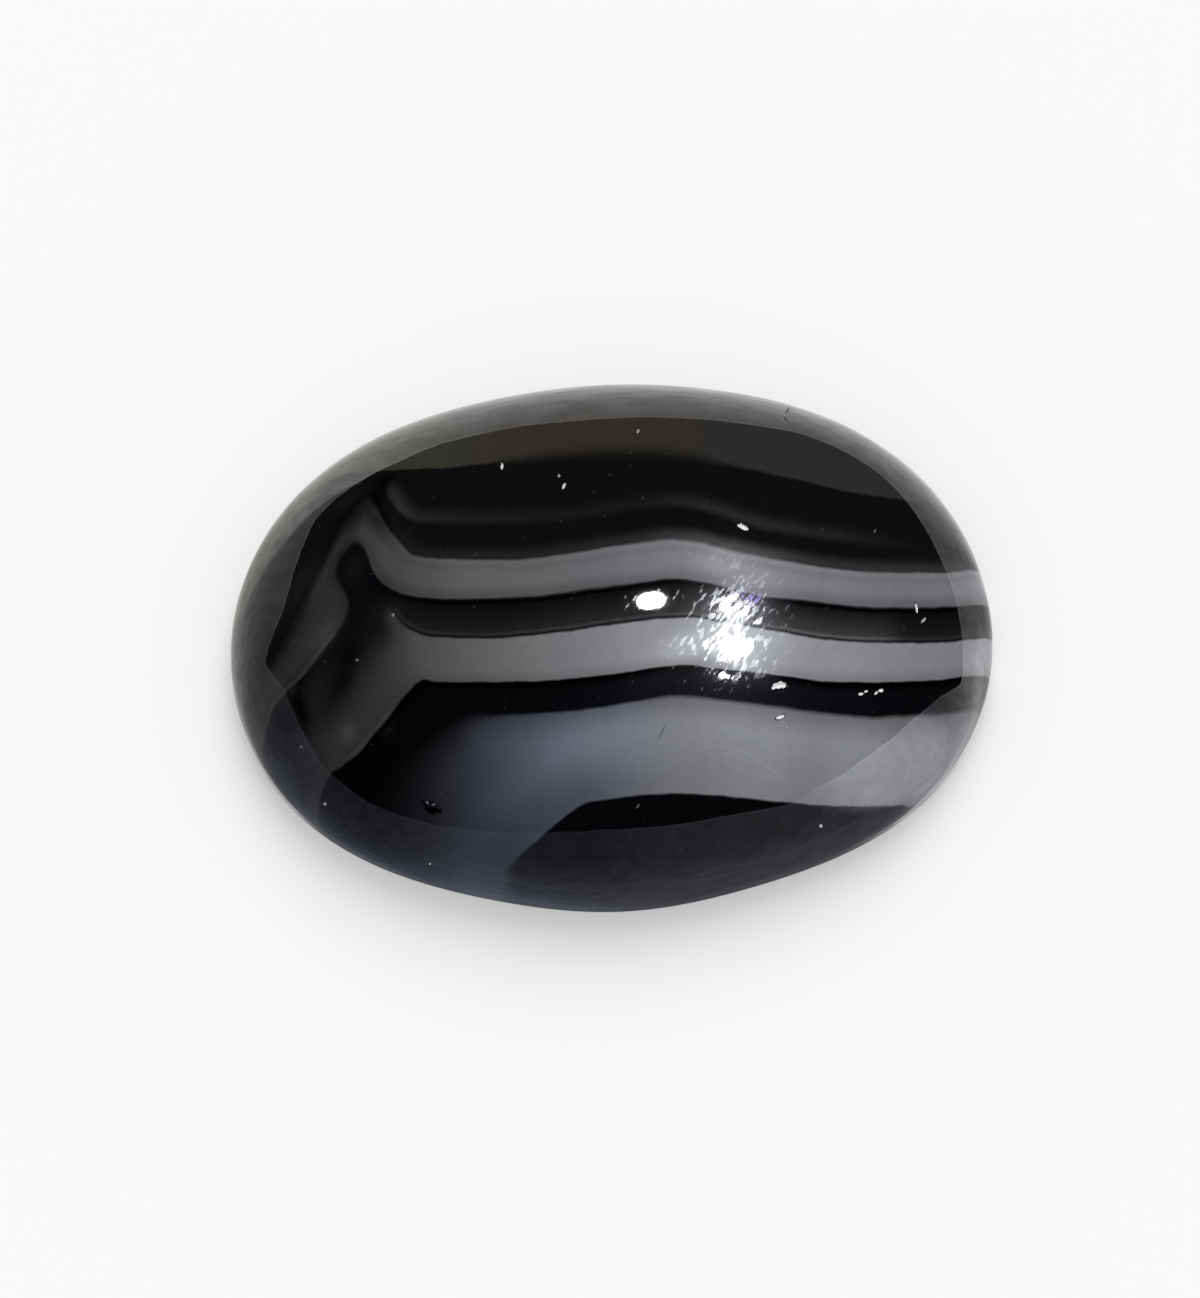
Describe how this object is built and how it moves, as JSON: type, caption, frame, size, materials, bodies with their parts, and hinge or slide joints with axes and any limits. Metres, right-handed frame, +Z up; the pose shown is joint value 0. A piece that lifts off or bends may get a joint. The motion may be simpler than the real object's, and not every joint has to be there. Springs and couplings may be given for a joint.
{
  "type": "agate cabochon",
  "caption": "Oval polished stone with a low domed face, a narrow girdle and a flat ground back, in black and grey banded agate.",
  "frame": {"origin": "centre of the flat back, in the plane that the stone rests on", "axes": "+X along the stone's long way, +Y across it, +Z up through the dome"},
  "size_m": [0.018, 0.013, 0.0046],
  "materials": {
    "agate": "polished, banded black and grey"
  },
  "bodies": {
    "root": {"agate_cabochon": "agate"}
  },
  "joints": []
}
